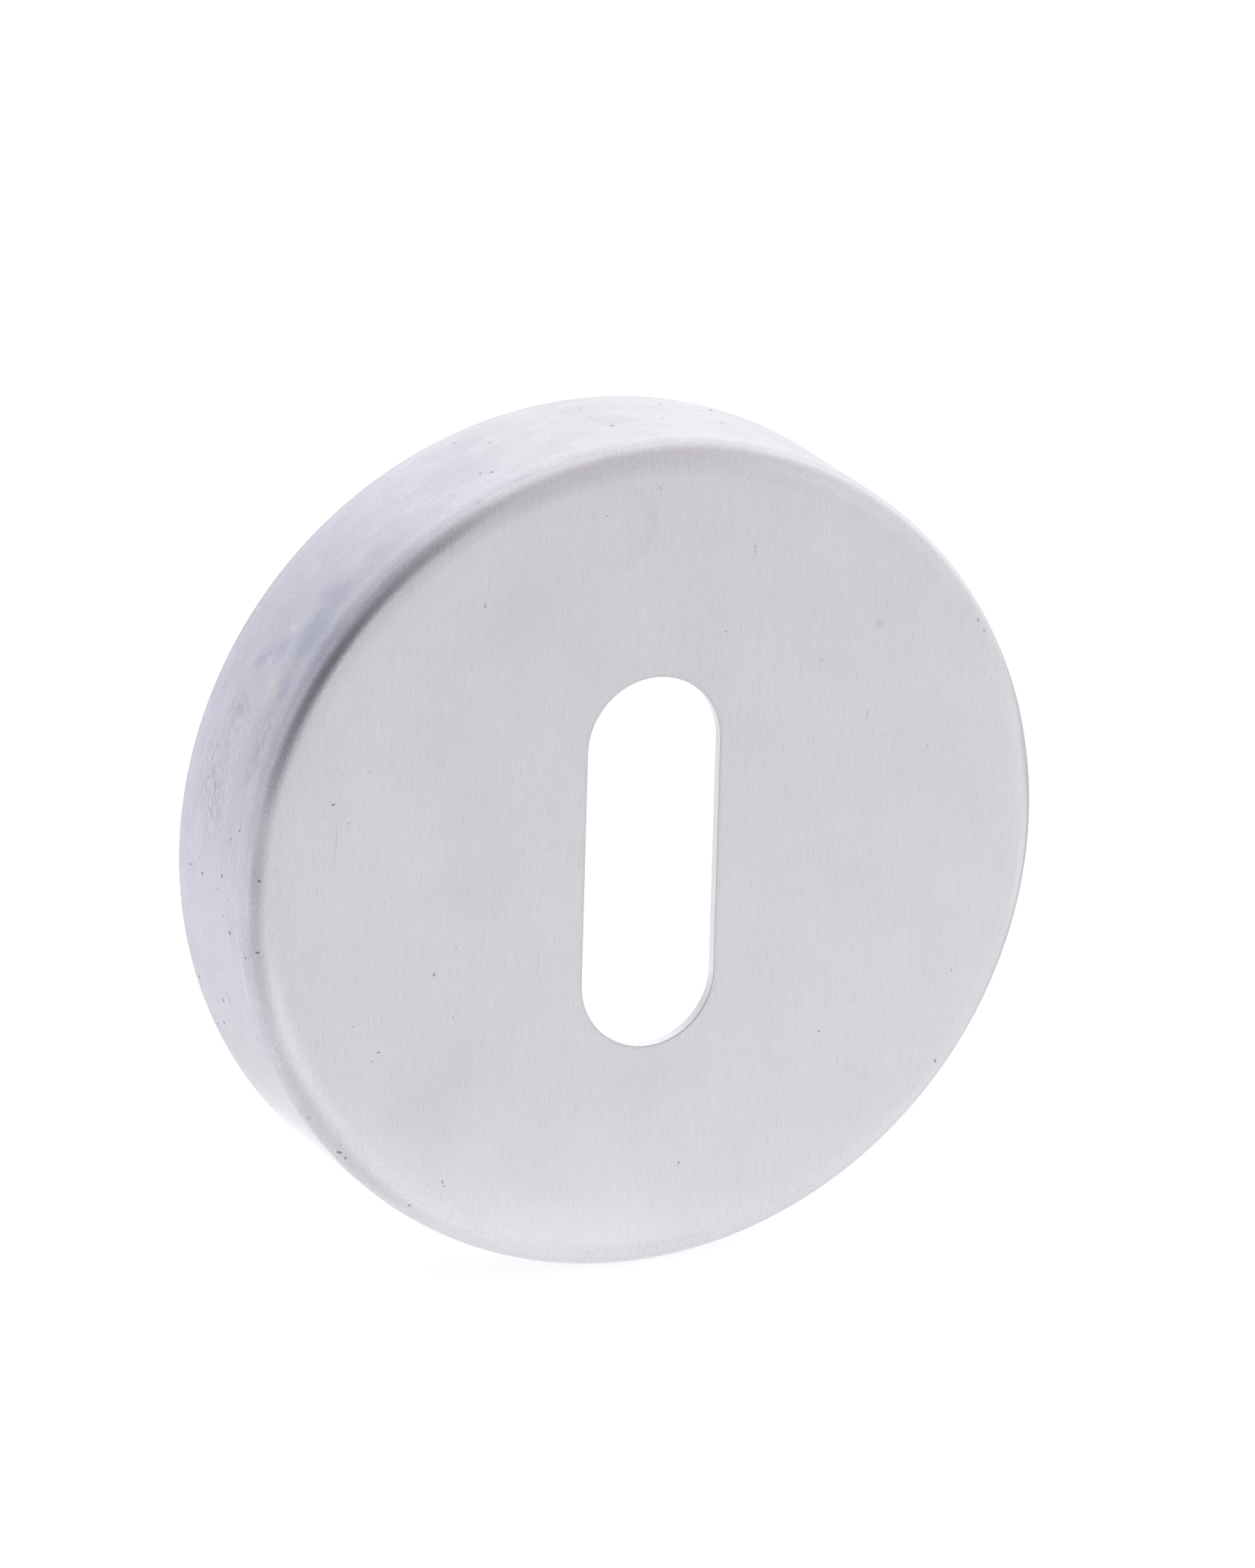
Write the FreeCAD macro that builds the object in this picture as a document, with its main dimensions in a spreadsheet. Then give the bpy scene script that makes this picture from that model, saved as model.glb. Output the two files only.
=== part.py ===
import FreeCAD, Part
import Sketcher

import math
import os

# A round keyhole escutcheon for a door: a shallow cap drawn from one piece of
# stainless sheet. Its face has an upright round-ended slot for a lever-lock key.
# A small radius turns the face into a straight wall, and the wall's raw edge
# sits against the door. The cap is hollow, and pushes over a round mounting
# plate that stays on the door.
#
# Frame, in millimetres: the origin is on the axis, in the plane of the wall's
# raw edge, which is the door's surface. +Y goes into the door, the face looks
# along -Y, and +Z is up, along the slot.

NODE = "escutcheon_cover"
FULL_TURN = 360.0  # degrees
MATCH = 1e-4  # how near its place an edge lies to be picked

# Driving dimensions: alias, value, what it sets
SIZES = [
    ("cover_diameter", 52.0, "outside diameter of the cap"),
    ("cover_depth", 11.7, "from the door to the face"),
    ("sheet_thickness", 0.8, "the sheet that the cap is drawn from"),
    ("edge_radius", 2.1, "outside radius between face and wall"),
    ("shoulder_radius", 40.0, "gentle fall of the face before the edge radius"),
    ("shoulder_width", 2.2, "from where that fall starts out to the edge radius's centre"),
    ("slot_width", 8.7, "keyhole slot, side to side"),
    ("slot_length", 23.3, "keyhole slot, end to end"),
    ("slot_roll_over", 0.06, "rounding that the punch leaves at the slot's front edge"),
    ("slot_back_break", 0.06, "break of the slot's back edge"),
    ("rim_outer_round", 0.25, "rounding of the raw edge, outside"),
    ("rim_inner_break", 0.12, "break of the raw edge, inside"),
]


def add_sizes(doc):
    """Writes the driving dimensions into a spreadsheet with an alias each."""
    sheet = doc.addObject("Spreadsheet::Sheet", "Sizes")
    for row, (alias, value, note) in enumerate(SIZES, start=1):
        sheet.set(f"A{row}", alias)
        sheet.set(f"B{row}", str(value))
        sheet.set(f"C{row}", note)
        sheet.setAlias(f"B{row}", alias)
    doc.recompute()
    return sheet


def plane_of(body, role):
    """One of the body's own origin planes."""
    return next(f for f in body.Origin.OriginFeatures if f.Role == role)


def point(x, y):
    return FreeCAD.Vector(x, y, 0)


def arc(centre, radius, start_angle, end_angle):
    circle = Part.Circle(centre, FreeCAD.Vector(0, 0, 1), radius)
    return Part.ArcOfCircle(circle, start_angle, end_angle)


def named(sketch, name, *constraint):
    """Adds a constraint with a name, which an expression can then drive."""
    index = sketch.addConstraint(Sketcher.Constraint(*constraint))
    sketch.renameConstraint(index, name)


def draw_half_section(body, sizes):
    """The cap's half section in the XY plane, closed on the axis: the outside
    from the axis to the raw edge, and the inside back, one sheet thickness in."""
    sketch = body.newObject("Sketcher::SketchObject", "HalfSection")
    sketch.AttachmentSupport = [(plane_of(body, "XY_Plane"), "")]
    sketch.MapMode = "FlatFace"

    outer = sizes.cover_diameter / 2
    inner = outer - sizes.sheet_thickness
    face_y = -sizes.cover_depth
    inside_y = face_y + sizes.sheet_thickness
    shoulder_inside = sizes.shoulder_radius - sizes.sheet_thickness
    edge_inside = sizes.edge_radius - sizes.sheet_thickness

    # The edge arc is tangent to the shoulder arc and to the wall, so its centre
    # lies on the wall's side and on the circle that the shoulder's centre gives.
    edge_x = outer - sizes.edge_radius
    reach = sizes.shoulder_radius - sizes.edge_radius
    flat = edge_x - sizes.shoulder_width
    edge_y = face_y + sizes.shoulder_radius - math.sqrt(reach**2 - sizes.shoulder_width**2)
    shoulder_centre = point(flat, face_y + sizes.shoulder_radius)
    edge_centre = point(edge_x, edge_y)
    turn = math.asin(sizes.shoulder_width / reach)
    down = -math.pi / 2

    def tangent_point(radius):
        return point(
            shoulder_centre.x + radius * math.sin(turn),
            shoulder_centre.y - radius * math.cos(turn),
        )

    face, shoulder, edge, wall, rim, bore, corner, hollow, back, axis_line = range(10)
    sketch.addGeometry(
        [
            Part.LineSegment(point(0, face_y), point(flat, face_y)),
            arc(shoulder_centre, sizes.shoulder_radius, down, down + turn),
            arc(edge_centre, sizes.edge_radius, down + turn, 0),
            Part.LineSegment(point(outer, edge_y), point(outer, 0)),
            Part.LineSegment(point(outer, 0), point(inner, 0)),
            Part.LineSegment(point(inner, 0), point(inner, edge_y)),
            arc(edge_centre, edge_inside, down + turn, 0),
            arc(shoulder_centre, shoulder_inside, down, down + turn),
            Part.LineSegment(point(flat, inside_y), point(0, inside_y)),
            Part.LineSegment(point(0, inside_y), point(0, face_y)),
        ],
        False,
    )

    start, end, centre = 1, 2, 3
    origin = -1
    joints = [
        ("Tangent", face, end, shoulder, start),
        ("Tangent", shoulder, end, edge, start),
        ("Tangent", edge, end, wall, start),
        ("Coincident", wall, end, rim, start),
        ("Coincident", rim, end, bore, start),
        ("Tangent", bore, end, corner, end),
        ("Tangent", corner, start, hollow, end),
        ("Coincident", hollow, start, back, start),
        ("Coincident", back, end, axis_line, start),
        ("Coincident", axis_line, end, face, start),
        ("Coincident", hollow, centre, shoulder, centre),
        ("Horizontal", face),
        ("Horizontal", rim),
        ("Horizontal", back),
        ("Vertical", wall),
        ("PointOnObject", axis_line, start, -2),
        ("PointOnObject", axis_line, end, -2),
        ("PointOnObject", rim, start, -1),
    ]
    for joint in joints:
        sketch.addConstraint(Sketcher.Constraint(*joint))

    named(sketch, "outer_radius", "DistanceX", origin, 1, wall, end, outer)
    named(sketch, "depth", "DistanceY", face, start, origin, 1, sizes.cover_depth)
    named(sketch, "sheet", "DistanceX", rim, end, rim, start, sizes.sheet_thickness)
    named(sketch, "edge", "Radius", edge, sizes.edge_radius)
    named(sketch, "shoulder", "Radius", shoulder, sizes.shoulder_radius)
    named(sketch, "fall", "DistanceX", shoulder, centre, edge, centre, sizes.shoulder_width)
    named(sketch, "back_sheet", "DistanceY", face, start, back, end, sizes.sheet_thickness)

    sketch.setExpression("Constraints.outer_radius", "Sizes.cover_diameter / 2")
    sketch.setExpression("Constraints.depth", "Sizes.cover_depth")
    sketch.setExpression("Constraints.sheet", "Sizes.sheet_thickness")
    sketch.setExpression("Constraints.edge", "Sizes.edge_radius")
    sketch.setExpression("Constraints.shoulder", "Sizes.shoulder_radius")
    sketch.setExpression("Constraints.fall", "Sizes.shoulder_width")
    sketch.setExpression("Constraints.back_sheet", "Sizes.sheet_thickness")
    return sketch


def draw_slot(body, sizes):
    """The keyhole's outline in the XZ plane: two upright sides and two round ends."""
    sketch = body.newObject("Sketcher::SketchObject", "KeySlot")
    sketch.AttachmentSupport = [(plane_of(body, "XZ_Plane"), "")]
    sketch.MapMode = "FlatFace"

    half_width = sizes.slot_width / 2
    reach = sizes.slot_length / 2 - half_width
    top, left, bottom, right = range(4)
    sketch.addGeometry(
        [
            arc(point(0, reach), half_width, 0, math.pi),
            Part.LineSegment(point(-half_width, reach), point(-half_width, -reach)),
            arc(point(0, -reach), half_width, math.pi, 2 * math.pi),
            Part.LineSegment(point(half_width, -reach), point(half_width, reach)),
        ],
        False,
    )

    start, end, centre = 1, 2, 3
    origin = -1
    joints = [
        ("Tangent", top, end, left, start),
        ("Tangent", left, end, bottom, start),
        ("Tangent", bottom, end, right, start),
        ("Tangent", right, end, top, start),
        ("Vertical", left),
        ("Symmetric", top, centre, bottom, centre, origin, 1),
    ]
    for joint in joints:
        sketch.addConstraint(Sketcher.Constraint(*joint))

    named(sketch, "half_width", "Radius", top, half_width)
    named(sketch, "reach", "DistanceY", bottom, centre, top, centre, 2 * reach)
    sketch.setExpression("Constraints.half_width", "Sizes.slot_width / 2")
    sketch.setExpression("Constraints.reach", "Sizes.slot_length - Sizes.slot_width")
    return sketch


def edges_where(feature, test):
    """The names of a feature's edges whose middle passes a test."""
    names = []
    for number, edge in enumerate(feature.Shape.Edges, start=1):
        middle = edge.valueAt((edge.FirstParameter + edge.LastParameter) / 2)
        if test(edge, middle):
            names.append(f"Edge{number}")
    return names


def dress(doc, body, kind, name, base, test, bindings):
    """Rounds or chamfers the edges of the last feature that pass the test."""
    feature = body.newObject(kind, name)
    feature.Base = (base, edges_where(base, test))
    for prop, expression in bindings.items():
        feature.setExpression(prop, expression)
    doc.recompute()
    return feature


def build_cover(doc, sizes):
    """Spins the section into the cap, punches the slot and breaks the edges."""
    body = doc.addObject("PartDesign::Body", NODE)
    body.Label = NODE

    section = draw_half_section(body, sizes)
    doc.recompute()
    drawn = body.newObject("PartDesign::Revolution", "DrawnCap")
    drawn.Profile = section
    drawn.ReferenceAxis = (section, ["V_Axis"])
    drawn.Angle = FULL_TURN
    doc.recompute()

    outline = draw_slot(body, sizes)
    doc.recompute()
    punched = body.newObject("PartDesign::Pocket", "PunchedSlot")
    punched.Profile = outline
    punched.Type = "ThroughAll"
    punched.Reversed = True
    doc.recompute()

    face_y = -sizes.cover_depth
    back_y = face_y + sizes.sheet_thickness
    outer = sizes.cover_diameter / 2
    inner = outer - sizes.sheet_thickness
    slot_reach = sizes.slot_length / 2 + MATCH

    def at(value, target):
        return abs(value - target) < MATCH

    def beside_slot(middle):
        return math.hypot(middle.x, middle.z) < slot_reach

    def along_rim(edge, middle, radius):
        return at(middle.y, 0) and at(math.hypot(middle.x, middle.z), radius)

    rolled = dress(
        doc,
        body,
        "PartDesign::Fillet",
        "SlotRollOver",
        punched,
        lambda edge, middle: at(middle.y, face_y) and beside_slot(middle),
        {"Radius": "Sizes.slot_roll_over"},
    )
    broken = dress(
        doc,
        body,
        "PartDesign::Chamfer",
        "SlotBackBreak",
        rolled,
        lambda edge, middle: at(middle.y, back_y) and beside_slot(middle),
        {"Size": "Sizes.slot_back_break"},
    )
    rounded = dress(
        doc,
        body,
        "PartDesign::Fillet",
        "RimOuterRound",
        broken,
        lambda edge, middle: along_rim(edge, middle, outer),
        {"Radius": "Sizes.rim_outer_round"},
    )
    dress(
        doc,
        body,
        "PartDesign::Chamfer",
        "RimInnerBreak",
        rounded,
        lambda edge, middle: along_rim(edge, middle, inner),
        {"Size": "Sizes.rim_inner_break"},
    )
    return body


def check(doc, parts):
    """Stops unless every object recomputed and every part is one valid solid."""
    for item in doc.Objects:
        if "Invalid" in item.State or "Error" in item.State:
            raise RuntimeError(f"{item.Name} failed: {item.State}")
    for part in parts:
        shape = part.Shape
        if shape.isNull() or not shape.isValid() or len(shape.Solids) != 1:
            raise RuntimeError(f"{part.Label} is not one valid solid")


def main():
    doc = FreeCAD.newDocument("KeyholeEscutcheon")
    sizes = add_sizes(doc)
    cover = build_cover(doc, sizes)
    doc.recompute()
    check(doc, [cover])
    os.makedirs("parts", exist_ok=True)
    cover.Shape.exportStep(f"parts/{cover.Label}.step")
    box = cover.Shape.BoundBox
    print(f"{cover.Label}: {cover.Shape.Volume:.1f} mm3, y {box.YMin:.3f} to {box.YMax:.3f}")


main()
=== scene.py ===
import math

import bmesh
import bpy
from mathutils import Matrix, Vector


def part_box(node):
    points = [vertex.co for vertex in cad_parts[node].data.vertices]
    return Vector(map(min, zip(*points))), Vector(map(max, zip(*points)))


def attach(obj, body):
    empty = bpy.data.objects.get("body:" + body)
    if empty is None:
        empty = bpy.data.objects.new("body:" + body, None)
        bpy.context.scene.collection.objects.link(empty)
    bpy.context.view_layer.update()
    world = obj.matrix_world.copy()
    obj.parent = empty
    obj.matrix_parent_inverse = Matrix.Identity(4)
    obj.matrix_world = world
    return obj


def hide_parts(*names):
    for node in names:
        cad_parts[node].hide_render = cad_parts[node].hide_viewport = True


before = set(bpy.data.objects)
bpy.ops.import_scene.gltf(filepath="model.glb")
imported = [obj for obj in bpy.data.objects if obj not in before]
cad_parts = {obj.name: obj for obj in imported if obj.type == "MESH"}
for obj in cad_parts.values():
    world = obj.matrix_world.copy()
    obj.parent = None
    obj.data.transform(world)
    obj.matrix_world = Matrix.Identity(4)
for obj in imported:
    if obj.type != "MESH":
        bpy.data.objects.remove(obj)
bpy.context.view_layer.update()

mm = 0.001  # sizes below are in millimetres until they meet Blender


def linearColour(hexCode):
    # sRGB hex to linear, with alpha 1
    values = [int(hexCode[i:i + 2], 16) / 255 for i in (0, 2, 4)]
    return [v / 12.92 if v <= 0.04045 else ((v + 0.055) / 1.055) ** 2.4 for v in values] + [1.0]


def addNode(tree, kind, inputs=None, **settings):
    # a node with its settings; an input takes a value, a socket, or a node's first output
    node = tree.nodes.new(kind)
    for name, value in settings.items():
        setattr(node, name, value)
    for key, value in (inputs or {}).items():
        if isinstance(value, bpy.types.Node):
            value = value.outputs[0]
        if isinstance(value, bpy.types.NodeSocket):
            tree.links.new(value, node.inputs[key])
        else:
            node.inputs[key].default_value = value
    return node


def newMaterial(name):
    material = bpy.data.materials.new(name)
    material.use_nodes = True
    material.node_tree.nodes.clear()
    return material, material.node_tree


def placeInMm(tree):
    place = addNode(tree, "ShaderNodeTexCoord").outputs["Object"]
    return addNode(tree, "ShaderNodeVectorMath", {0: place, 3: 1 / mm}, operation="SCALE")


def direction(azimuth, elevation):
    # in degrees: azimuth 0 is the front and 90 the right
    azimuth, elevation = math.radians(azimuth), math.radians(elevation)
    return Vector((
        math.sin(azimuth) * math.cos(elevation),
        -math.cos(azimuth) * math.cos(elevation),
        math.sin(elevation),
    ))


def startEdit(piece):
    bpy.ops.object.select_all(action="DESELECT")
    piece.select_set(True)
    bpy.context.view_layer.objects.active = piece
    bpy.ops.object.mode_set(mode="EDIT")
    bpy.ops.mesh.select_mode(type="EDGE")


def pickEdges(piece, test):
    # in edit mode, selects only the edges whose middle, in mm, passes the test
    bpy.ops.mesh.select_all(action="DESELECT")
    mesh = bmesh.from_edit_mesh(piece.data)
    for edge in mesh.edges:
        middle = (edge.verts[0].co + edge.verts[1].co) / 2 / mm
        if test(middle):
            edge.select_set(True)
    bmesh.update_edit_mesh(piece.data)


def applyModifier(piece, kind, **settings):
    modifier = piece.modifiers.new(kind.title(), kind)
    for name, value in settings.items():
        setattr(modifier, name, value)
    bpy.context.view_layer.objects.active = piece
    bpy.ops.object.modifier_apply(modifier=modifier.name)


# The pressed cover: face, slot, edge radius and wall from one sheet
lowCorner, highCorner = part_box("escutcheon_cover")
cover = {
    "radius": highCorner.x / mm,
    "depth": -lowCorner.y / mm,
    "sheet": 0.8,
    "edgeRadius": 2.1,       # outside, between face and wall
    "shoulderRadius": 40.0,  # gentle fall of the face before the edge radius
    "shoulderWidth": 2.2,
    "slotWidth": 8.7,
    "slotLength": 23.3,
    "slotRollOver": 0.06,    # left by the punch at the slot's front edge
    "slotBackBreak": 0.06,
    "rimOuterRound": 0.25,
    "rimInnerBreak": 0.12,
    "around": 256,           # steps round the cover
    "slotRings": 5,          # between the slot and the plain ring
    "plainRing": 16.0,       # radius where the rings round the slot become circles
    "faceRings": (18.5, 20.5),
    "shoulderSteps": 5,
    "arcSteps": 18,
    "wallSteps": 8,
}
faceY = -cover["depth"]
slotHalf = cover["slotWidth"] / 2
slotReach = cover["slotLength"] / 2 - slotHalf
edgeX = cover["radius"] - cover["edgeRadius"]
flatX = edgeX - cover["shoulderWidth"]
arcGap = cover["shoulderRadius"] - cover["edgeRadius"]
edgeY = faceY + cover["shoulderRadius"] - math.sqrt(arcGap ** 2 - cover["shoulderWidth"] ** 2)


def slotGap(point):
    # how far a point lies outside the slot's outline, seen from the front
    return math.hypot(point.x, max(abs(point.z) - slotReach, 0)) - slotHalf


def coverProfile():
    # radius and place of each ring outside the plain ring, from the face to the raw edge
    turn = math.asin(cover["shoulderWidth"] / arcGap)
    rings = [(radius, faceY) for radius in (*cover["faceRings"], flatX)]
    for step in range(1, cover["shoulderSteps"] + 1):
        angle = turn * step / cover["shoulderSteps"]
        rings.append((
            flatX + cover["shoulderRadius"] * math.sin(angle),
            faceY + cover["shoulderRadius"] * (1 - math.cos(angle)),
        ))
    for step in range(1, cover["arcSteps"] + 1):
        angle = turn + (math.pi / 2 - turn) * step / cover["arcSteps"]
        rings.append((
            edgeX + cover["edgeRadius"] * math.sin(angle),
            edgeY - cover["edgeRadius"] * math.cos(angle),
        ))
    for step in range(1, cover["wallSteps"] + 1):
        rings.append((cover["radius"], edgeY * (1 - step / cover["wallSteps"])))
    return rings


def addRing(radius):
    # a circle in the face's plane, half a step round, so that it is even left and right
    halfStep = math.pi / cover["around"]
    bpy.ops.mesh.primitive_circle_add(
        vertices=cover["around"], radius=radius * mm, fill_type="NOTHING",
        location=(0, faceY * mm, 0), rotation=(math.pi / 2, halfStep, 0),
    )


def scaleCover(piece, factor):
    bpy.ops.object.select_all(action="DESELECT")
    piece.select_set(True)
    piece.scale = (factor, factor, factor)
    bpy.ops.object.transform_apply(location=False, rotation=False, scale=True)


def makeCover():
    bpy.ops.object.select_all(action="DESELECT")
    addRing(slotHalf)
    piece = bpy.context.object
    piece.name = piece.data.name = "pressedCover"
    bpy.ops.object.transform_apply(location=True, rotation=True, scale=True)

    # the slot's outline: one circle pulled apart into two round ends
    startEdit(piece)
    for side in (1, -1):
        pickEdges(piece, lambda p: p.z * side > 0 and abs(p.z) > 1e-4)
        bpy.ops.transform.translate(value=(0, 0, side * slotReach * mm))

    # the flat round the slot
    bpy.ops.mesh.select_all(action="DESELECT")
    addRing(cover["plainRing"])
    bpy.ops.mesh.select_all(action="SELECT")
    bpy.ops.mesh.bridge_edge_loops(number_cuts=cover["slotRings"], interpolation="LINEAR")

    # the rest of the face, the edge radius and the wall, ring by ring
    radius, place = cover["plainRing"], faceY
    pickEdges(piece, lambda p: math.hypot(p.x, p.z) > radius - 0.01)
    for nextRadius, nextPlace in coverProfile():
        bpy.ops.mesh.extrude_edges_move(
            TRANSFORM_OT_translate={"value": (0, (nextPlace - place) * mm, 0)})
        scale = nextRadius / radius
        bpy.ops.transform.resize(value=(scale, 1, scale), center_override=(0, 0, 0))
        radius, place = nextRadius, nextPlace

    bpy.ops.mesh.select_all(action="SELECT")
    bpy.ops.mesh.remove_doubles(threshold=1e-6)
    bpy.ops.mesh.normals_make_consistent(inside=False)
    bpy.ops.object.mode_set(mode="OBJECT")
    applyModifier(piece, "SOLIDIFY", thickness=cover["sheet"] * mm, offset=-1,
                  use_even_offset=True, use_quality_normals=True)

    # edges that the punch and the trimming leave
    startEdit(piece)
    backY = faceY + cover["sheet"]
    inner = cover["radius"] - cover["sheet"]
    near = 0.01
    for test, width, segments in (
        (lambda p: abs(p.y - faceY) < near and abs(slotGap(p)) < near, cover["slotRollOver"], 6),
        (lambda p: abs(p.y - backY) < near and abs(slotGap(p)) < near, cover["slotBackBreak"], 2),
        (lambda p: abs(p.y) < near and math.hypot(p.x, p.z) > cover["radius"] - 2 * near,
         cover["rimOuterRound"], 5),
        (lambda p: abs(p.y) < near and math.hypot(p.x, p.z) < inner + 2 * near,
         cover["rimInnerBreak"], 2),
    ):
        pickEdges(piece, test)
        bpy.ops.mesh.bevel(
            offset=width * mm, segments=segments, affect="EDGES", clamp_overlap=False)
    bpy.ops.object.mode_set(mode="OBJECT")
    bpy.ops.object.shade_smooth()
    # the modifier passes over faces this small, so the cover is a thousand times larger meanwhile
    scaleCover(piece, 1 / mm)
    applyModifier(piece, "WEIGHTED_NORMAL", mode="FACE_AREA", weight=50, keep_sharp=False)
    scaleCover(piece, mm)
    return piece


# Stainless steel, in the three states that the making leaves
finish = {
    "face": "CBCACF",             # brushed with a fine belt: pale, slightly lavender grey
    "wall": "D0D0D7",             # as drawn, lightly brushed round: a little bluer
    "wallLeft": "CFCFDD",         # bluer still on the left of the wall
    "leftSpan": (125, 198, 26),   # degrees round from the right over the top: from, to and blend
    "tintFrom": -11.05,           # y in mm over which the edge radius takes on the wall's colour
    "tintTo": -10.3,
    "faceRoughness": 0.32,
    "wallRoughness": 0.40,
    "edgeRoughness": 0.22,        # on the edge radius, where belt and die both burnished it
    "edgeSpan": (-11.45, -10.3, 0.15),    # y in mm from, to and blend
    "strokeSpan": (-11.60, -10.2, 0.12),  # the same for the brush's strokes over the edge radius
    "strokeDepth": 0.0018,        # mm
    "strokeTone": 0.045,          # how much they lighten and darken
    "slotEdgeShade": 0.34,             # mm round the slot with painted shade, the roll-over's shadow on the face
    "slotEdgeShadeChange": -0.075,
    "largeMark": 1.0,             # mm. Marks wider and higher than this get the coarse outline
    "coarseOutline": (1.4, 0.9),  # mm from wave to wave, and how far the waves reach
    "fineOutline": (0.25, 0.22),
    "markFade": 1.2,              # where a mark has faded out, as a share of its half width
}
# Inside the cap, never brushed: the mill's own dull finish, drawn smooth
millFinish = {
    "colour": "C2C1C4",
    "cloudSize": 2.5,             # mm
    "cloudDetail": 5.0,
    "smoothest": 0.34,
    "roughest": 0.46,
}
# Edges that the punch and the trim die leave: burnished, brighter than the brushed sheet
shearedFinish = {
    "colour": "E4E5EB",
    "cloudSize": 0.4,
    "cloudDetail": 2.0,
    "smoothest": 0.38,
    "roughest": 0.46,
}

# The brushing's grain. Each kind: size in mm across and up, from where to where its noise counts,
# the tone at either end, and the noise's detail
faceGrain = {
    "brushLines": (0.08, 1.5, 0.25, 0.75, 0.974, 1.026, 2),  # really 0.03 wide, coarser to show
    "speckle": (0.16, 0.22, 0.25, 0.75, 0.974, 1.026, 2),
    "longLines": (0.3, 9, 0.3, 0.7, 0.992, 1.008, 2),
    "clouds": (5, 6, 0.3, 0.7, 0.986, 1.014, 3),
    "darkDashes": (0.11, 1.2, 0.68, 0.78, 1.0, 0.88, 2),
}
edgeStrokes = (0.09, 0.26, 0.25, 0.75, 0.0, 2.0, 2)  # where the brush runs over the edge radius
# The same on the wall, with the sizes round it and along y
wallGrain = {
    "linesRound": (4, 0.18, 0.3, 0.7, 0.974, 1.026, 2),
    "speckle": (0.30, 0.16, 0.3, 0.7, 0.954, 1.046, 3),
    "fibres": (1.2, 0.25, 0.3, 0.7, 0.974, 1.026, 2),
    "clouds": (3.2, 1.9, 0.3, 0.7, 0.974, 1.026, 4),
}

# Lighter and darker zones of the wall, one a painted reflection: y from, to and blend in mm,
# degrees round from, to and blend (from the right over the top), and the change
wallZones = {
    "creaseLine": (-9.25, -9.05, 0.18, 62, 200, 6, 0.055),  # where the radius's brushing ends
    "lowerCrease": (-8.95, -8.5, 0.25, 206, 232, 6, 0.09),
    # darker over the upper left of the wall
    "darkerLeft": (-10.8, -7.0, 1.4, 128, 176, 12, -0.115),
    "radiusLowerLeft": (-11.2, -9.45, 0.15, 182, 214, 6, -0.035),
    # painted reflection: the edge radius lighter over the top, where it mirrors something bright
    "radiusTop": (-11.0, -9.5, 0.25, 85, 128, 8, 0.045),
    "rimUpperLeft": (-3.2, 0.6, 1.0, 112, 166, 6, 0.04),
    "rimLine": (-1.0, 0.6, 0.35, 100, 188, 8, 0.04),
    "wallLeft": (-8.6, 0.6, 0.3, 177, 194, 5, 0.018),
}

# Wear on the brushed face, and painted shade and highlights on it. Each mark: place right of and above
# the cover's axis, width and height in mm and turn in degrees, or only a diameter. Each kind: colour,
# strength, share of a mark that is full strength
faceMarks = {
    "tideMark": ("A9A7B0", 0.14, 0.9, [(-2.9, 21.3, 5.2, 5.0, 0)]),
    "insideTideMark": ("CAC9CE", 1.0, 0.85, [(-3.2, 21.3, 4.8, 4.6, 0)]),
    # painted shade: soft darker patches over the face
    "paintedFaceShade": ("B4B2BC", 0.13, 0.0, [
        (-13.6, -13.2, 11, 8, 25), (-11.8, -0.6, 7, 5, 0), (1.5, -13.4, 9, 4, 0), (-9.5, 17, 12, 6, 35),
    ]),
    # painted highlight: paler patches over the face, the pale crescent on the lower left among them
    "paintedFaceHighlight": ("DAD9DC", 0.16, 0.0, [
        (-15.5, 1.5, 6, 11, -12), (-19, 4, 8, 22, -5), (-18.4, -15.2, 12, 3.6, -42),
    ]),
    "scuff": ("96949E", 0.32, 0.2, [
        (14.7, 13.6, 0.7, 0.6, 0), (14.1, 7.9, 0.3, 0.8, -12), (-19.8, 4.6, 0.75, 0.12, 28),
        (-20.7, 3.4, 0.08, 3.0, 0), (-7.3, -5.5, 0.12, 2.2, -3), (6.3, 19.0, 0.16, 1.5, 0),
    ]),
    "pit": ("5C5962", 0.75, 0.3, [
        (-14.1, -5.6, 0.18), (-0.1, 23.5, 0.17), (8.4, -10.6, 0.14), (11.5, -12.0, 0.18),
        (2.4, -19.4, 0.17), (-19.3, -8.3, 0.13), (-17.5, -0.6, 0.18), (10.9, 11.7, 0.13),
        (18.2, 5.5, 0.13), (-12.7, -4.0, 0.13), (-18.6, 7.6, 0.14), (-25.3, 1.3, 0.25),
        (-17.6, -10.1, 0.21), (-18.0, -10.6, 0.13), (-12.8, -8.4, 0.16), (-13.2, -18.8, 0.23),
        (-13.1, -19.1, 0.17), (-14.2, -18.9, 0.12), (-19.6, -16.5, 0.28), (-19.2, -16.9, 0.22),
        (-3.6, 22.1, 0.12), (-0.9, 21.2, 0.12), (6.2, 19.2, 0.12), (4.5, 14.1, 0.13),
        (4.5, 22.4, 0.11), (21.7, -6.9, 0.12), (20.3, -9.0, 0.11), (19.8, -11.8, 0.13),
        (-11.4, 17.2, 0.10, 0.32, 0), (-20.9, 5.8, 0.28, 0.16, 20), (19.5, -14.8, 0.12, 0.32, 10),
        (-15.1, -20.3, 0.30, 0.12, -35), (21.5, 13.0, 0.26, 0.12, -55), (21.9, 12.3, 0.26, 0.10, -55),
    ]),
}

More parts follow.
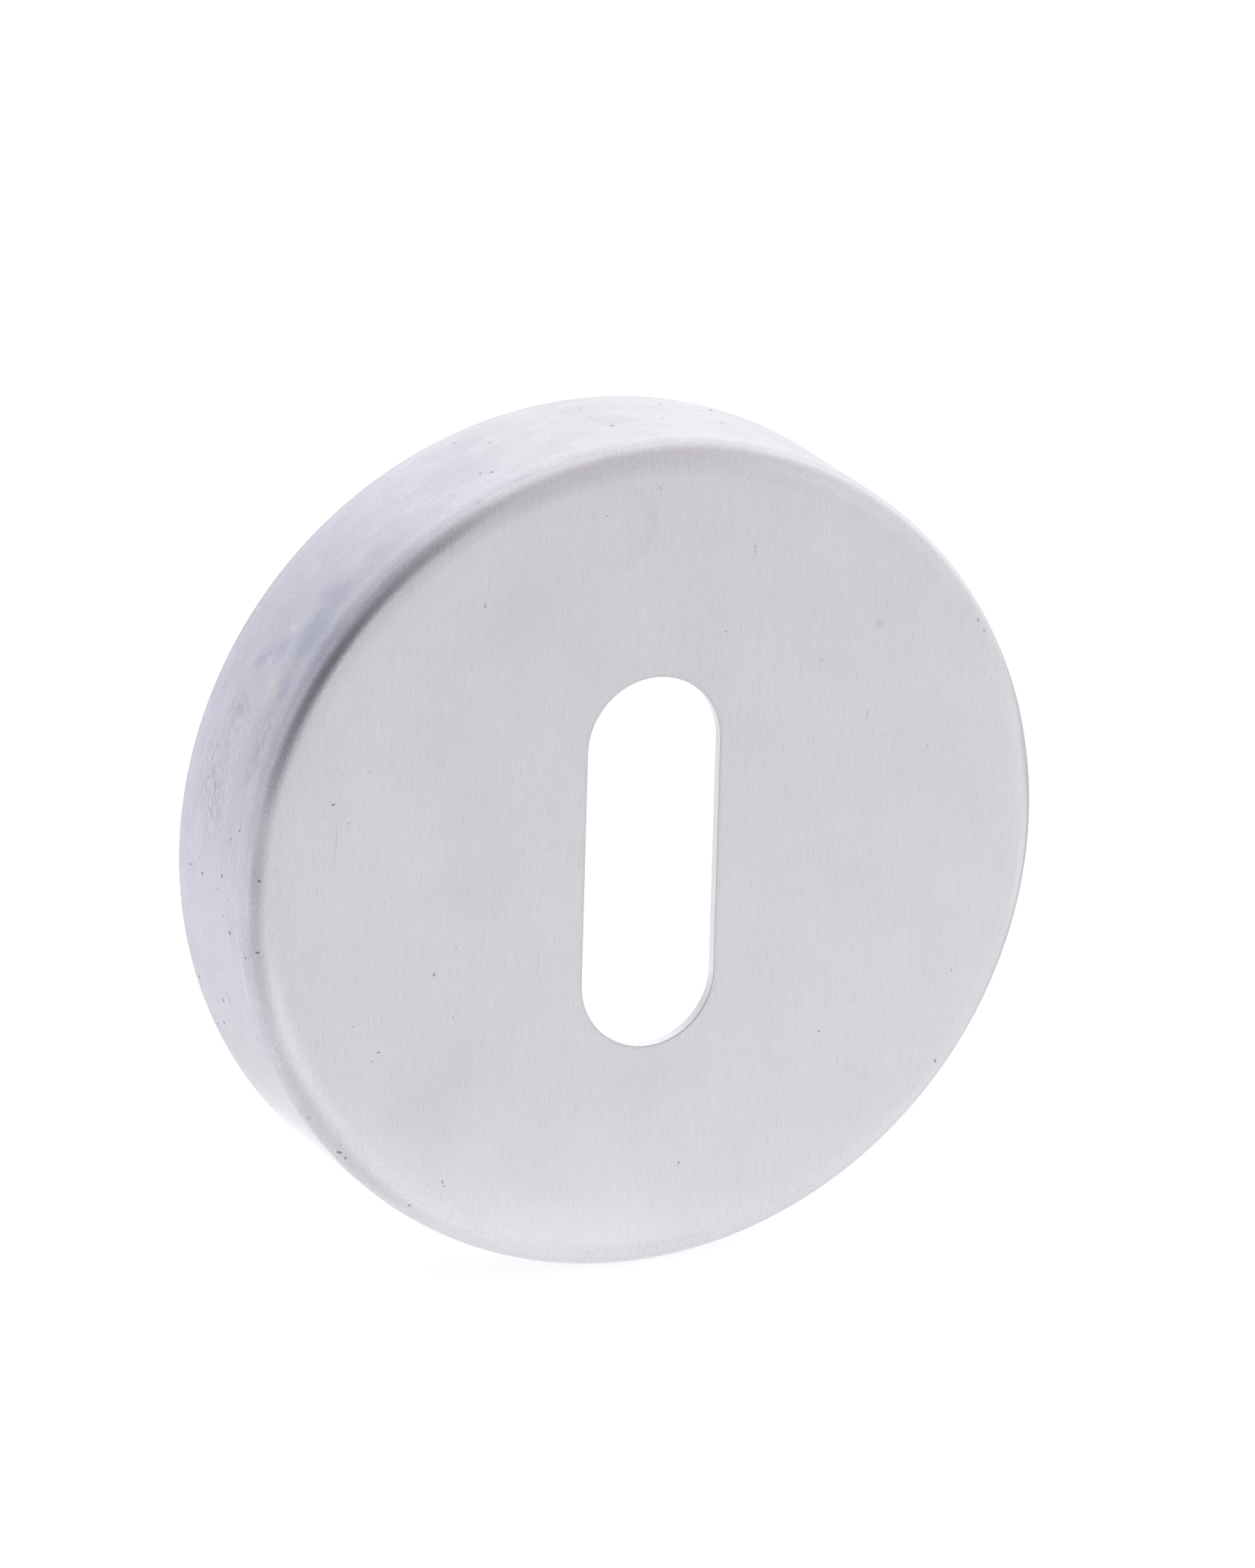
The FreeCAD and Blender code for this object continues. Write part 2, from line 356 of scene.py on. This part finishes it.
# The same on the wall. Place: degrees round from the right over the top, then y in mm
wallMarks = {
    "blueBloom": ("A8AFC6", 0.44, 0.3, [(143.4, -8.1, 4.6, 3.0, 0)]),
    "violetBloom": ("AFA9C8", 0.42, 0.0, [
        (150.3, -4.4, 2.6, 1.4, 40), (147.5, -5.9, 2.8, 1.8, 35), (137.6, -7.3, 2.8, 3.6, -20),
        (144.5, -10.2, 7.0, 1.7, 0), (152, -8.6, 2.8, 2.0, 0),
    ]),
    "palePatch": ("E6E5E3", 0.34, 0.2, [
        (153, -7.0, 3.0, 2.0, -12), (149.9, -5.2, 0.9, 0.9, 0), (144.4, -5.6, 0.8, 0.9, 0),
    ]),
    "greyCloud": ("9EA0AA", 0.16, 0.0, [
        (113.5, -5.6, 4.6, 4.8, 0), (111, -2.4, 4.4, 2.6, 0), (91, -5.2, 3.2, 2.8, 0),
        (93.5, -2.2, 2.8, 1.4, 0), (130, -7.6, 2.2, 2.0, 0),
    ]),
    "bandViolet": ("D6D3E8", 0.42, 0.5, [(146, -10.95, 24, 0.9, 0)]),
    "warmLine": ("CCBFC6", 0.26, 0.5, [(91, -11.0, 26, 0.5, 0)]),
    "scuff": ("8E8D98", 0.34, 0.2, [
        (213.4, -10.4, 0.22, 0.80, -25), (212.4, -10.0, 0.18, 0.60, -25), (116, -10.2, 0.60, 0.30, -30),
        (201.3, -8.6, 0.60, 0.22, 0), (95.5, -10.4, 0.14, 0.50, 20),
    ]),
    "pit": ("54525C", 0.88, 0.3, [
        (186.3, -7.9, 0.30), (179.1, -6.9, 0.30), (180.7, -3.9, 0.27), (180.6, -2.0, 0.30),
        (198.8, -4.2, 0.28), (197.7, -0.8, 0.32), (182, -7.8, 0.18), (184.5, -7.0, 0.20),
        (181.3, -6.2, 0.17), (197.7, -5.6, 0.22), (178.9, -3.3, 0.18), (171.6, -8.8, 0.20),
        (173.5, -7.7, 0.20), (167.8, -3.1, 0.17), (188.4, -10.0, 0.17), (187.3, -10.9, 0.22),
        (111.1, -7.7, 0.20), (112.2, -7.1, 0.17), (107.4, -3.6, 0.18), (110.6, -1.6, 0.17),
        (92.1, -6.3, 0.28), (87.6, -5.6, 0.17), (93.1, -4.1, 0.20), (83.7, -5.4, 0.17),
        (92.7, -2.3, 0.18), (80.7, -1.8, 0.20),
        (203.5, -2.6, 0.18, 0.40, -30), (205.1, -0.9, 0.18, 0.40, -35),
        (74.4, -4.8, 0.24, 0.50, 20), (72.5, -1.3, 0.26, 0.56, 25),
    ]),
}
# Where the sheet galled in the die and has fine ripples
galling = {
    "marks": [(160, -8.6, 6.0, 2.4, 0), (168.5, -4.2, 9.6, 6.4, -15), (158, -4.6, 3.6, 3.6, 0)],
    "core": 0.1,
    "strength": 0.28,
    "rippleSize": (0.8, 0.17, 1),  # mm along and across a ripple
    "rippleTurn": -12,             # degrees
    "rippleOutline": (0.8, 0.6),   # as the marks' outlines
    "noiseFrom": 0.42,
    "noiseTo": 0.74,
}


def streaks(tree, place, across, up, noiseFrom, noiseTo, toneFrom, toneTo, detail):
    # one kind of grain as a tone, with the numbers of its row
    stretched = addNode(tree, "ShaderNodeVectorMath", {
        0: place, 1: (1 / across, 1 / up, 1)}, operation="MULTIPLY")
    noise = addNode(tree, "ShaderNodeTexNoise", {
        "Vector": stretched, "Scale": 1.0, "Detail": detail}, noise_dimensions="2D")
    return addNode(tree, "ShaderNodeMapRange", {
        "Value": noise.outputs[0], "From Min": noiseFrom, "From Max": noiseTo,
        "To Min": toneFrom, "To Max": toneTo,
    })


def window(tree, value, start, stop, blend):
    # 1 between start and stop, and 0 beyond, with soft ends
    rise = addNode(tree, "ShaderNodeMapRange", {
        "Value": value, "From Min": start - blend, "From Max": start + blend,
    }, interpolation_type="SMOOTHSTEP")
    fall = addNode(tree, "ShaderNodeMapRange", {
        "Value": value, "From Min": stop - blend, "From Max": stop + blend,
        "To Min": 1.0, "To Max": 0.0,
    }, interpolation_type="SMOOTHSTEP")
    return addNode(tree, "ShaderNodeMath", {0: rise, 1: fall}, operation="MULTIPLY")


def ragged(tree, place, size, reach):
    # the place itself, pushed about a little so that marks get ragged outlines
    noise = addNode(tree, "ShaderNodeTexNoise", {
        "Vector": place, "Scale": 1 / size, "Detail": 1.0}, noise_dimensions="2D")
    push = addNode(tree, "ShaderNodeVectorMath", {
        0: noise.outputs[1], 1: (0.5, 0.5, 0.5)}, operation="SUBTRACT")
    push = addNode(tree, "ShaderNodeVectorMath", {0: push, 3: reach}, operation="SCALE")
    return addNode(tree, "ShaderNodeVectorMath", {0: place, 1: push}, operation="ADD")


def softMark(tree, place, mark, core, strength):
    # strength inside the mark, with a soft rim from core outwards
    right, up, *shape = mark
    if len(shape) == 1:
        radius = shape[0] / 2
        reach = addNode(tree, "ShaderNodeVectorMath", {
            0: place, 1: (right, up, 0)}, operation="DISTANCE")
    else:
        radius = 1
        width, height, turn = shape
        inOval = addNode(tree, "ShaderNodeMapping", {
            "Vector": place, "Location": (right, up, 0), "Rotation": (0, 0, math.radians(turn)),
            "Scale": (width / 2, height / 2, 1),
        }, vector_type="TEXTURE")
        reach = addNode(tree, "ShaderNodeVectorMath", {0: inOval}, operation="LENGTH")
    return addNode(tree, "ShaderNodeMapRange", {
        "Value": reach.outputs["Value"],
        "From Min": core * radius, "From Max": finish["markFade"] * radius,
        "To Min": strength, "To Max": 0.0,
    }, interpolation_type="SMOOTHSTEP")


def product(tree, first, *others):
    for other in others:
        first = addNode(tree, "ShaderNodeMath", {0: first, 1: other}, operation="MULTIPLY")
    return first


def roundWall(mark):
    # a wall mark's degrees as mm round the wall
    return (math.radians(mark[0]) * cover["radius"], *mark[1:])


def addMarks(tree, colour, place, kinds):
    fine = ragged(tree, place, *finish["fineOutline"])
    coarse = ragged(tree, place, *finish["coarseOutline"])
    for hexCode, strength, core, marks in kinds.values():
        for mark in marks:
            ground = coarse if min(mark[2:4]) > finish["largeMark"] else fine
            share = softMark(tree, ground, mark, core, strength)
            colour = addNode(tree, "ShaderNodeMix", {
                0: share, 6: colour, 7: linearColour(hexCode)}, data_type="RGBA").outputs[2]
    return colour


def grain(tree, place, kinds):
    # all kinds together as one tone round 1
    return product(tree, *(streaks(tree, place, *kind) for kind in kinds.values()))


def slotEdgeShade(tree, x, z):
    # painted shade round the slot, where the punch's roll-over shades the face
    above = addNode(tree, "ShaderNodeMath", {0: z}, operation="ABSOLUTE")
    above = addNode(tree, "ShaderNodeMath", {0: above, 1: slotReach}, operation="SUBTRACT")
    above = addNode(tree, "ShaderNodeMath", {0: above, 1: 0.0}, operation="MAXIMUM")
    fromMiddle = addNode(tree, "ShaderNodeCombineXYZ", {0: x, 1: above})
    fromMiddle = addNode(tree, "ShaderNodeVectorMath", {0: fromMiddle}, operation="LENGTH")
    return addNode(tree, "ShaderNodeMapRange", {
        "Value": fromMiddle.outputs["Value"],
        "From Min": slotHalf, "From Max": slotHalf + finish["slotEdgeShade"],
        "To Min": 1 + finish["slotEdgeShadeChange"], "To Max": 1.0,
    }, interpolation_type="SMOOTHSTEP")


def galledTone(tree, wallPlace):
    # 1 where the sheet is plain, and darker in the ripples
    slanted = addNode(tree, "ShaderNodeMapping", {
        "Vector": ragged(tree, wallPlace, *galling["rippleOutline"]),
        "Rotation": (0, 0, math.radians(galling["rippleTurn"])), "Scale": galling["rippleSize"],
    }, vector_type="TEXTURE")
    ripple = addNode(tree, "ShaderNodeTexNoise", {
        "Vector": slanted, "Scale": 1.0, "Detail": 2.0}, noise_dimensions="2D")
    ripple = addNode(tree, "ShaderNodeMapRange", {
        "Value": ripple.outputs[0],
        "From Min": galling["noiseFrom"], "From Max": galling["noiseTo"],
    })
    galled = 0.0
    for mark in galling["marks"]:
        share = softMark(tree, wallPlace, roundWall(mark), galling["core"], galling["strength"])
        galled = addNode(tree, "ShaderNodeMath", {0: galled, 1: share}, operation="MAXIMUM")
    ripple = product(tree, ripple, galled)
    return addNode(tree, "ShaderNodeMath", {0: 1.0, 1: ripple}, operation="SUBTRACT")


def brushedStainless():
    # 304 stainless, belt-brushed upright on the face and satin as drawn on the wall: soft,
    # slightly streaked reflections, with the handling marks that such a pressing picks up and
    # some painted shade, highlights and reflections in its colour
    material, tree = newMaterial("stainless304BrushedSheet")
    x, y, z = addNode(tree, "ShaderNodeSeparateXYZ", {0: placeInMm(tree)}).outputs
    facePlace = addNode(tree, "ShaderNodeCombineXYZ", {0: x, 1: z})
    turnRound = addNode(tree, "ShaderNodeMath", {0: z, 1: x}, operation="ARCTAN2")
    # the jump of the angle is turned to the bottom, where the floor is
    turnRound = addNode(tree, "ShaderNodeMath", {
        0: turnRound, 1: 1.5 * math.pi, 2: -0.5 * math.pi}, operation="WRAP")
    along = addNode(tree, "ShaderNodeMath", {
        0: turnRound, 1: cover["radius"]}, operation="MULTIPLY")
    wallPlace = addNode(tree, "ShaderNodeCombineXYZ", {0: along, 1: y})

    onWall = addNode(tree, "ShaderNodeMapRange", {
        "Value": y, "From Min": finish["tintFrom"], "From Max": finish["tintTo"],
    }, interpolation_type="SMOOTHSTEP")

    # the grain, times the painted shade round the slot
    faceTone = product(tree, grain(tree, facePlace, faceGrain), slotEdgeShade(tree, x, z))
    wallTone = grain(tree, wallPlace, wallGrain)
    degrees = addNode(tree, "ShaderNodeMath", {
        0: turnRound, 1: 180 / math.pi}, operation="MULTIPLY")
    for low, high, blend, start, stop, turnBlend, change in wallZones.values():
        zone = product(
            tree, window(tree, y, low, high, blend), window(tree, degrees, start, stop, turnBlend))
        zone = addNode(tree, "ShaderNodeMath", {
            0: zone, 1: change, 2: 1.0}, operation="MULTIPLY_ADD")
        wallTone = product(tree, wallTone, zone)
    wallTone = product(tree, wallTone, galledTone(tree, wallPlace))

    tone = addNode(tree, "ShaderNodeMix", {0: onWall, 2: faceTone, 3: wallTone})
    wallColour = addNode(tree, "ShaderNodeMix", {
        0: window(tree, degrees, *finish["leftSpan"]),
        6: linearColour(finish["wall"]), 7: linearColour(finish["wallLeft"]),
    }, data_type="RGBA").outputs[2]
    colour = addNode(tree, "ShaderNodeMix", {
        0: onWall, 6: linearColour(finish["face"]), 7: wallColour}, data_type="RGBA").outputs[2]
    colour = addMarks(tree, colour, facePlace, faceMarks)
    inArc = {
        kind: (code, strength, core, [roundWall(mark) for mark in marks])
        for kind, (code, strength, core, marks) in wallMarks.items()
    }
    colour = addMarks(tree, colour, wallPlace, inArc)

    # the brush's strokes stand out as short hairs where the edge radius turns away
    strokes = streaks(tree, facePlace, *edgeStrokes)
    overEdge = window(tree, y, *finish["strokeSpan"])
    height = product(tree, strokes, overEdge)
    bump = addNode(tree, "ShaderNodeBump", {
        "Strength": 1.0, "Distance": finish["strokeDepth"] * mm, "Height": height})
    hairs = addNode(tree, "ShaderNodeMath", {0: strokes, 1: 1.0}, operation="SUBTRACT")
    hairs = product(tree, hairs, overEdge)
    hairs = addNode(tree, "ShaderNodeMath", {
        0: hairs, 1: finish["strokeTone"], 2: 1.0}, operation="MULTIPLY_ADD")
    tone = product(tree, tone, hairs)
    toned = addNode(tree, "ShaderNodeVectorMath", {0: colour, 3: tone}, operation="SCALE")

    roughness = addNode(tree, "ShaderNodeMix", {
        0: onWall, 2: finish["faceRoughness"], 3: finish["wallRoughness"]})
    roughness = addNode(tree, "ShaderNodeMix", {
        0: window(tree, y, *finish["edgeSpan"]), 2: roughness, 3: finish["edgeRoughness"]})
    metal = addNode(tree, "ShaderNodeBsdfPrincipled", {
        "Base Color": toned, "Metallic": 1.0, "Roughness": roughness, "Normal": bump,
    })
    addNode(tree, "ShaderNodeOutputMaterial", {"Surface": metal})
    return material


def unbrushedStainless(name, look):
    material, tree = newMaterial(name)
    place = addNode(tree, "ShaderNodeTexCoord").outputs["Object"]
    cloud = addNode(tree, "ShaderNodeTexNoise", {
        "Vector": place, "Scale": 1 / (look["cloudSize"] * mm), "Detail": look["cloudDetail"]})
    roughness = addNode(tree, "ShaderNodeMapRange", {
        "Value": cloud.outputs[0], "From Min": 0.3, "From Max": 0.7,
        "To Min": look["smoothest"], "To Max": look["roughest"],
    })
    metal = addNode(tree, "ShaderNodeBsdfPrincipled", {
        "Base Color": linearColour(look["colour"]), "Metallic": 1.0, "Roughness": roughness,
    })
    addNode(tree, "ShaderNodeOutputMaterial", {"Surface": metal})
    return material


def dressCover(piece):
    for material in (
        brushedStainless(),
        unbrushedStainless("stainless304MillFinish", millFinish),
        unbrushedStainless("stainless304ShearedEdge", shearedFinish),
    ):
        piece.data.materials.append(material)
    mill, sheared = 1, 2  # their places in the list; every face starts as the brushed sheet, 0
    inner = cover["radius"] - cover["sheet"]
    for face in piece.data.polygons:
        centre = face.center / mm
        out = math.hypot(centre.x, centre.z)
        radial = Vector((centre.x, 0, centre.z)).normalized()
        onRawEdge = centre.y > -cover["rimOuterRound"] - 0.05 and face.normal.y > 0.2
        onSlotWall = slotGap(centre) < 0.02 and centre.y > faceY + 0.1
        onBack = face.normal.y > 0.02
        onInnerWall = out < inner + 0.2 and face.normal.dot(radial) < -0.5
        if onRawEdge or onSlotWall:
            face.material_index = sheared
        elif onBack or onInnerWall:
            face.material_index = mill


# Camera at the photo's viewing angle
camera = {
    "azimuth": -24.53,   # degrees, 0 looks along +Y
    "elevation": 17.38,
    "roll": 1.63,
    "distance": 899.0,
    "lens": 338.9,       # mm on a 36 mm sensor along the frame's height
    "aimRight": 3.328,   # where it aims, from the cover's axis, in mm
    "aimUp": 1.415,
    "nearest": 50,       # what it sees, in mm
    "farthest": 20000,
}


def makeCamera():
    back = direction(camera["azimuth"], camera["elevation"])
    roll = math.radians(camera["roll"])
    right = (-back).cross(Vector((0, 0, 1))).normalized()
    up = right.cross(-back)
    rolledRight = math.cos(roll) * right + math.sin(roll) * up
    rolledUp = math.cos(roll) * up - math.sin(roll) * right
    spot = back * camera["distance"] + rolledRight * camera["aimRight"] + rolledUp * camera["aimUp"]
    bpy.ops.object.camera_add()
    viewer = bpy.context.object
    viewer.name = "photoCamera"
    axes = Matrix((rolledRight, rolledUp, back)).transposed().to_4x4()
    viewer.matrix_world = Matrix.Translation(spot * mm) @ axes
    viewer.data.lens = camera["lens"]
    viewer.data.sensor_width = 36
    viewer.data.clip_start = camera["nearest"] * mm
    viewer.data.clip_end = camera["farthest"] * mm
    bpy.context.scene.camera = viewer


# A plain white studio: the tent's soft light comes from all round
studio = {
    "level": 1.0,
    # soft patches of the tent. Each: azimuth and elevation, inner and outer angle, all in degrees,
    # and how much brighter or dimmer it is there
    "patches": [
        (-66, 14, 6, 38, -0.46),   # the tent's open side, left of the camera
        (-62, 44, 6, 38, -0.48),
        (-50, 42, 6, 26, -0.03),
        (-74, 5, 6, 22, -0.10),
        (-93, 38, 4, 18, 0.10),
        (-67, 29, 2, 19, 0.10),
        (-46, 10, 2, 15, 0.08),
        (-20, 41, 3, 15, -0.13),
        (-125, 68, 4, 14, -0.08),
        (-45, 64, 2, 10, 0.10),
        (85, 66, 4, 18, -0.08),
        (-115, 60, 6, 26, -0.05),
        (-125, 20, 10, 50, -0.14),
        (-118, 40, 6, 30, -0.14),
        (-112, 12, 6, 26, -0.08),
        (0, 50, 10, 50, -0.15),    # the camera's side, and above it
        (140, 2, 10, 60, 0.35),    # main soft box, behind on the right
        (180, 62, 10, 45, 0.10),   # a smaller one, behind and above
        (184, 26, 4, 26, 0.08),
        (65, 12, 8, 40, 0.085),
        (108, 14, 4, 24, -0.09),
        (110, 8, 3, 16, -0.09),
        (142, 8, 4, 22, 0.04),
    ],
    "floorSize": 8000,       # mm
    "floorGap": 0.05,        # mm under the cover's lowest point
    "floorColour": "BCBCBC",
    "floorGlow": 0.72,       # what the camera sees on top of the floor's own lit colour
    "floorInMetal": 0.61,    # the same for what the metal reflects, outside the patches below
    # soft patches of the floor, as the metal reflects them. Each: its place in mm right of and
    # behind the cover's axis with a diameter, or with length, depth and turn; the share of it that
    # is full strength; how much brighter or dimmer it is
    "floorPatches": [
        ((15, -20, 183), 0.1, 0.18),
        ((-8, -18, 53), 0.2, 0.16),
        ((-66, -14, 63), 0.3, -0.24),
        ((-120, -32, 100), 0.4, -0.18),
        ((-190, -55, 217), 0.4, -0.29),
        ((-107, -22, 34, 62, 0), 0.3, 0.075),
        ((-540, -110, 680), 0.5, -0.28),
        ((-420, -600, 500), 0.3, -0.08),
        ((100, 80, 250), 0.3, -0.24),
        ((160, -110, 183), 0.3, 0.06),
        ((5, 25, 67), 0.3, 0.28),
        ((-3, 9, 32), 0.5, 0.90),
        ((-25, 22, 27), 0.3, -0.09),
        ((-26, -9, 27), 0.3, -0.20),
        ((-41, -2, 24), 0.3, -0.045),
        ((-38, -36, 40), 0.3, 0.16),
        ((2, -44, 37), 0.3, -0.06),
        ((14, -16, 64, 12, 12), 0.5, 0.075),       # lit floor along the front of the cover
        ((-11, -16, 32, 7.4, 0), 0.6, 0.085),
        ((34, -22, 40, 22, 0), 0.5, 0.04),
        ((98, -4, 84, 76, 15), 0.4, 0.25),
        ((72, -68, 56), 0.3, 0.11),
        ((300, -60, 460, 260, 15), 0.6, 0.14),
        ((54, -24, 30, 44, 0), 0.4, 0.05),
        ((0, -7, 28, 8, 0), 0.6, -0.22),           # the cover's own soft shade, under and behind it
        ((18, -3, 20, 9, 25), 0.5, -0.17),
        ((74, 32, 150, 34, 30), 0.6, -0.20),
        ((140, 112, 120, 60, 20), 0.5, -0.24),
    ],
}


def makeTent():
    world = bpy.data.worlds.new("whiteTent")
    bpy.context.scene.world = world
    world.use_nodes = True
    tree = world.node_tree
    tree.nodes.clear()
    towards = addNode(tree, "ShaderNodeTexCoord").outputs["Generated"]
    level = studio["level"]
    for azimuth, elevation, inner, outer, change in studio["patches"]:
        facing = addNode(tree, "ShaderNodeVectorMath", {
            0: towards, 1: direction(azimuth, elevation)}, operation="DOT_PRODUCT")
        share = addNode(tree, "ShaderNodeMapRange", {
            "Value": facing.outputs["Value"],
            "From Min": math.cos(math.radians(outer)),
            "From Max": math.cos(math.radians(inner)),
            "To Min": 0.0, "To Max": change,
        }, interpolation_type="SMOOTHSTEP")
        level = addNode(tree, "ShaderNodeMath", {0: level, 1: share}, operation="ADD")
    white = linearColour("FFFFFF")
    light = addNode(tree, "ShaderNodeBackground", {"Color": white, "Strength": level})
    backdrop = addNode(tree, "ShaderNodeBackground", {"Color": white, "Strength": 1.0})
    rays = addNode(tree, "ShaderNodeLightPath")
    seen = addNode(tree, "ShaderNodeMixShader", {
        0: rays.outputs["Is Camera Ray"], 1: light, 2: backdrop})
    addNode(tree, "ShaderNodeOutputWorld", {"Surface": seen})


def makeFloor():
    bpy.ops.mesh.primitive_plane_add(
        size=studio["floorSize"] * mm, location=(0, 0, lowCorner.z - studio["floorGap"] * mm))
    floor = bpy.context.object
    floor.name = "paleFloor"
    material, tree = newMaterial("paleFloorPaint")
    paint = addNode(tree, "ShaderNodeBsdfDiffuse", {"Color": linearColour(studio["floorColour"])})
    place = placeInMm(tree)
    inMetal = studio["floorInMetal"]
    for mark, core, change in studio["floorPatches"]:
        share = softMark(tree, place, mark, core, change)
        inMetal = addNode(tree, "ShaderNodeMath", {0: inMetal, 1: share}, operation="ADD")
    rays = addNode(tree, "ShaderNodeLightPath")
    seen = addNode(tree, "ShaderNodeMath", {
        0: rays.outputs["Is Camera Ray"], 1: rays.outputs["Is Transmission Ray"]}, operation="MAXIMUM")
    seen = addNode(tree, "ShaderNodeMath", {0: seen, 1: studio["floorGlow"]}, operation="MULTIPLY")
    # two glows under a mix, so that only the metal's rays work out the patches
    glow = addNode(tree, "ShaderNodeMixShader", {
        0: rays.outputs["Is Glossy Ray"],
        1: addNode(tree, "ShaderNodeEmission", {"Strength": seen}),
        2: addNode(tree, "ShaderNodeEmission", {"Strength": inMetal}),
    })
    both = addNode(tree, "ShaderNodeAddShader", {0: paint, 1: glow})
    addNode(tree, "ShaderNodeOutputMaterial", {"Surface": both})
    floor.data.materials.append(material)


print("cover")
pressedCover = makeCover()
print("finishes")
dressCover(pressedCover)
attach(pressedCover, "root")
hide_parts("escutcheon_cover")

print("studio and camera")
makeTent()
makeFloor()
makeCamera()
bpy.context.scene.view_settings.view_transform = "Standard"
